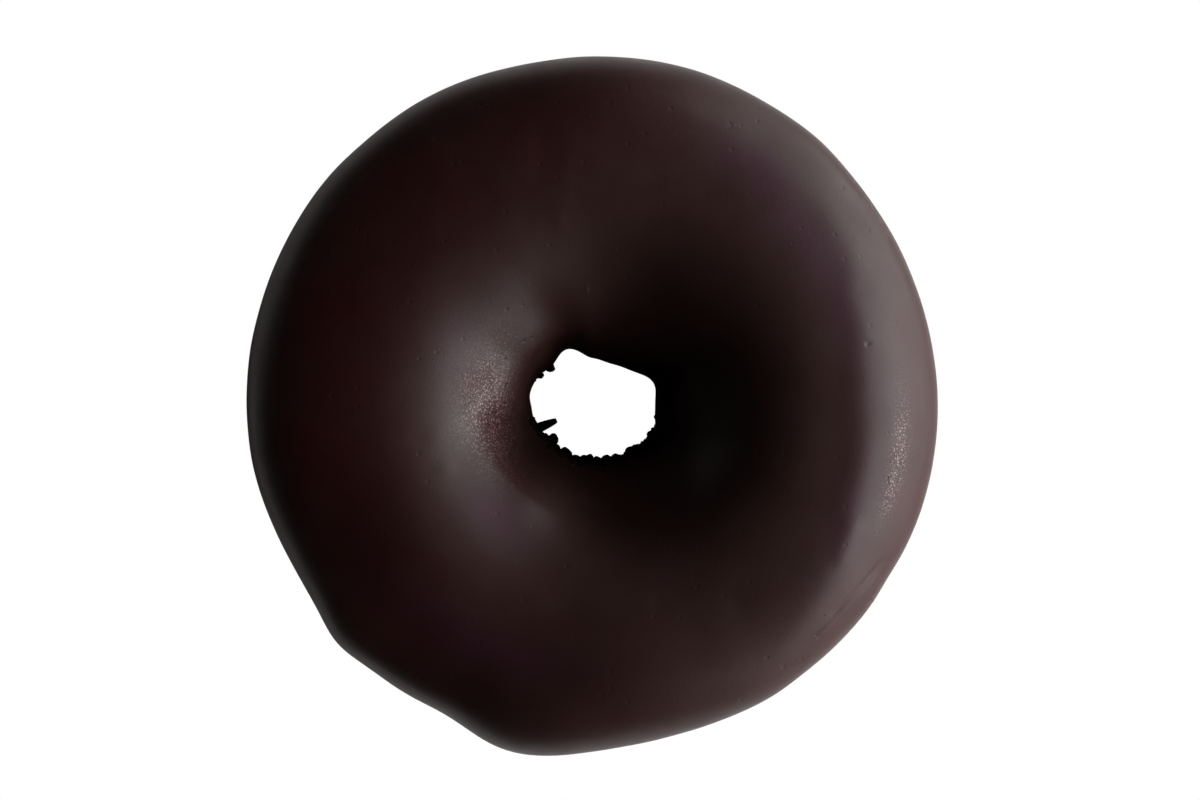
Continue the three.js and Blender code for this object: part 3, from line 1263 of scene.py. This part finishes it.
def coat_material(colours, place, grain, patches):
    """Set dark chocolate: satin, with soft patches, a faint bloom, a fine grain, crystals painted pale as
    glints, and pinholes painted dark as shade.
    """
    material, tree, shader = start_material("set_dark_chocolate")
    soft = use_group(tree, patches, (-900, 500), Scale=60.0, Contrast=0.5)
    fine = use_group(tree, grain, (-900, -300), Scale=3200.0, Pinholes=0.06)
    warm_places = masks_at(tree, place, WARM_PLACES, (-1300, 1400))
    bloomed = masks_at(tree, place, BLOOM_PLACES, (-1300, 700))
    grained = masks_at(tree, place, GRAIN_PLACES, (-1300, -400))

    warmth = calculate(tree, "MULTIPLY_ADD", (-600, 700), soft["Patch"], *WARMTH_OF_PATCH)
    warm = calculate(tree, "MULTIPLY", (-450, 600), warm_places, warmth, use_clamp=True)
    warmed = blend_colours(tree, (-300, 500), warm, colours.chocolate, colours.warm)
    cloudiness = calculate(tree, "MULTIPLY_ADD", (-600, 350), soft["Small Patch"], *BLOOM_OF_PATCH)
    bloom = calculate(tree, "MULTIPLY", (-300, 250), bloomed, cloudiness, use_clamp=True)
    tinted = blend_colours(tree, (0, 400), bloom, warmed, colours.bloom)
    # Painted shade: the pinholes are darkened towards the near-black crumb colour
    pinhole = calculate(tree, "MULTIPLY", (0, 150), fine["Pinhole"], grained, use_clamp=True)
    pinhole_shaded = blend_colours(tree, (300, 300), pinhole, tinted, colours.crumb)
    # Painted glints: pale crystal specks brighten the highlights where the grain is strongest
    crystal_and_glint = calculate(tree, "MULTIPLY", (300, 50), fine["Crystal"], grained, use_clamp=True)
    flecked = blend_colours(tree, (600, 300), crystal_and_glint, pinhole_shaded, colours.crystal_and_glint)
    tree.links.new(flecked, shader.inputs["Base Color"])

    glossiest = colours.roughness - PATCH_ROUGHNESS / 2
    sheen = calculate(tree, "MULTIPLY_ADD", (0, 0), soft["Small Patch"], PATCH_ROUGHNESS, glossiest)
    pore = calculate(tree, "MULTIPLY", (0, -150), fine["Pore"], grained, use_clamp=True)
    duller = calculate(tree, "MULTIPLY_ADD", (300, -50), pore, PORE_ROUGHNESS, sheen)
    glossier = calculate(tree, "MULTIPLY_ADD", (500, -50), grained, GRAIN_ROUGHNESS, duller)
    tree.links.new(glossier, shader.inputs["Roughness"])

    grainy = 1 - LEAST_GRAIN
    amount = calculate(tree, "MULTIPLY_ADD", (-300, -500), grained, grainy, LEAST_GRAIN, use_clamp=True)
    height = calculate(tree, "MULTIPLY", (0, -400), fine["Height"], amount)
    add_bump(tree, shader, (600, -300), height, colours.grain_height)
    return material


def shaded_crumb_material(colours, grain, patches):
    """Torn crumb, matt and coarse, painted near-black, darker than the coat, as the shade deep in the hole.
    """
    material, tree, shader = start_material("torn_crumb")
    soft = use_group(tree, patches, (-600, 300), Scale=600.0, Contrast=0.6)
    coarse = use_group(tree, grain, (-600, -200), Scale=1600.0, Pinholes=0.3)
    share = calculate(tree, "MULTIPLY", (-300, 300), soft["Patch"], CRUMB_MOTTLING)
    # Painted shade: the near-black crumb colour stands for the shade deep in the hole
    mottled = blend_colours(tree, (0, 300), share, colours.crumb, colours.chocolate)
    tree.links.new(mottled, shader.inputs["Base Color"])
    shader.inputs["Roughness"].default_value = 0.8
    shader.inputs["Specular IOR Level"].default_value = 0.25
    add_bump(tree, shader, (600, -300), coarse["Height"], CRUMB_COARSENESS * colours.grain_height)
    return material


class DOUGHNUT_OT_ring(bpy.types.Operator):
    """Model the dipped ring with its torn crumbs, and coat it"""

    bl_idname = "doughnut.ring"
    bl_label = "Dipped Ring"

    def execute(self, context):
        ring = Ring(context.scene.doughnut_sizes)
        colours = context.scene.doughnut_colours
        bpy.ops.object.select_all(action="DESELECT")
        piece = spin_ring(ring, context.scene.doughnut_curves)
        swell_ring(piece, ring)
        bulge_ring(piece, ring)
        raise_ridge(piece, ring, "Lip", LIP, ring.sizes.lip_rise, LIP_SLOPES)
        raise_ridge(piece, ring, "Shoulder", SHOULDER, ring.sizes.shoulder_rise, SHOULDER_SLOPES)
        shape_coat(piece, ring)
        settle_on_tray(piece, ring)
        grain, patches = grain_group(), patch_group()
        piece.data.materials.append(coat_material(colours, place_group(), grain, patches))
        join_crumbs(piece, add_crumbs(piece, ring), shaded_crumb_material(colours, grain, patches))
        drop_loose_bits(piece, ring)
        centre_on_frame(piece)
        bpy.ops.object.shade_smooth()
        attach(piece, BODY)
        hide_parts(NODE)
        return {"FINISHED"}


def floor_material(setup):
    """A pale matt floor that the camera sees as white, with a painted contact shade near the ring's foot,
    and the coat as brighter than it is.
    """
    material = bpy.data.materials.new("pale_floor")
    material.use_nodes = True
    tree = material.node_tree
    tree.nodes.clear()
    output = add_node(tree, "ShaderNodeOutputMaterial", (600, 0))
    mix = add_node(tree, "ShaderNodeMixShader", (400, 0))
    path = add_node(tree, "ShaderNodeLightPath", (-400, 300))
    matt = add_node(tree, "ShaderNodeBsdfDiffuse", (100, 0))
    white = add_node(tree, "ShaderNodeEmission", (100, -200))
    # Painted contact shade: ambient occlusion darkens the white that the camera sees near the ring's foot
    contact = add_node(tree, "ShaderNodeAmbientOcclusion", (-200, -200), samples=8)
    contact.inputs["Distance"].default_value = setup.contact_shade
    glossy = path.outputs["Is Glossy Ray"]
    brighter = setup.floor * (setup.floor_sheen - 1)
    given_back = calculate(tree, "MULTIPLY_ADD", (-100, 100), glossy, brighter, setup.floor)
    tree.links.new(given_back, matt.inputs["Color"])
    tree.links.new(contact.outputs["Color"], white.inputs["Color"])
    tree.links.new(path.outputs["Is Camera Ray"], mix.inputs["Fac"])
    tree.links.new(matt.outputs["BSDF"], mix.inputs[1])
    tree.links.new(white.outputs["Emission"], mix.inputs[2])
    tree.links.new(mix.outputs["Shader"], output.inputs["Surface"])
    return material


def add_panel_light(panel, setup):
    """A soft rectangular light that faces the ring."""
    rise = math.radians(panel.elevation)
    distance = setup.light_distance
    place = on_circle(panel.direction, distance * math.cos(rise), distance * math.sin(rise))
    bpy.ops.object.light_add(type="AREA", location=place)
    light = bpy.context.view_layer.objects.active
    light.name = panel.name
    light.rotation_euler = place.to_track_quat("Z", "Y").to_euler()
    light.data.shape = "RECTANGLE"
    light.data.size, light.data.size_y = PANEL_SIZE
    light.data.energy = panel.share * setup.light_power
    light.visible_camera = False


class DOUGHNUT_OT_studio(bpy.types.Operator):
    """Set up the pale floor, the soft light and the camera over the doughnut"""

    bl_idname = "doughnut.studio"
    bl_label = "Studio"

    def execute(self, context):
        setup = context.scene.doughnut_studio
        bpy.ops.object.select_all(action="DESELECT")
        bpy.ops.mesh.primitive_plane_add(size=6, location=(0, 0, 0))
        floor = start_piece("floor")
        floor.data.materials.append(floor_material(setup))
        for panel in PANELS:
            add_panel_light(panel, setup)
        waist = context.scene.doughnut_sizes.outer_waist_height
        bpy.ops.object.camera_add(location=(*CAMERA_PLACE, waist + setup.camera_distance))
        camera = context.view_layer.objects.active
        camera.name = "camera"
        camera.rotation_euler = (0, 0, 0)
        camera.data.lens = camera.data.sensor_width * setup.camera_distance / setup.view_width
        context.scene.camera = camera
        context.scene.view_settings.view_transform = "Standard"
        world = bpy.data.worlds.new("studio")
        context.scene.world = world
        world.use_nodes = True
        world.node_tree.nodes["Background"].inputs["Color"].default_value = (0, 0, 0, 1)
        return {"FINISHED"}


class DOUGHNUT_PT_panel(bpy.types.Panel):
    """Lists the steps that make the doughnut and its studio"""

    bl_label = "Chocolate Ring Doughnut"
    bl_space_type = "VIEW_3D"
    bl_region_type = "UI"
    bl_category = "Doughnut"

    def draw(self, context):
        for operator in (DOUGHNUT_OT_ring, DOUGHNUT_OT_studio):
            self.layout.operator(operator.bl_idname)


CLASSES = (
    RingSizes,
    SectionCurves,
    CoatColours,
    StudioSetup,
    DOUGHNUT_OT_ring,
    DOUGHNUT_OT_studio,
    DOUGHNUT_PT_panel,
)


def register():
    for item in CLASSES:
        bpy.utils.register_class(item)
    bpy.types.Scene.doughnut_sizes = PointerProperty(type=RingSizes)
    bpy.types.Scene.doughnut_curves = PointerProperty(type=SectionCurves)
    bpy.types.Scene.doughnut_colours = PointerProperty(type=CoatColours)
    bpy.types.Scene.doughnut_studio = PointerProperty(type=StudioSetup)


def unregister():
    del bpy.types.Scene.doughnut_studio
    del bpy.types.Scene.doughnut_colours
    del bpy.types.Scene.doughnut_curves
    del bpy.types.Scene.doughnut_sizes
    for item in reversed(CLASSES):
        bpy.utils.unregister_class(item)


def main():
    register()
    bpy.ops.doughnut.ring()
    bpy.ops.doughnut.studio()


if __name__ == "__main__":
    main()
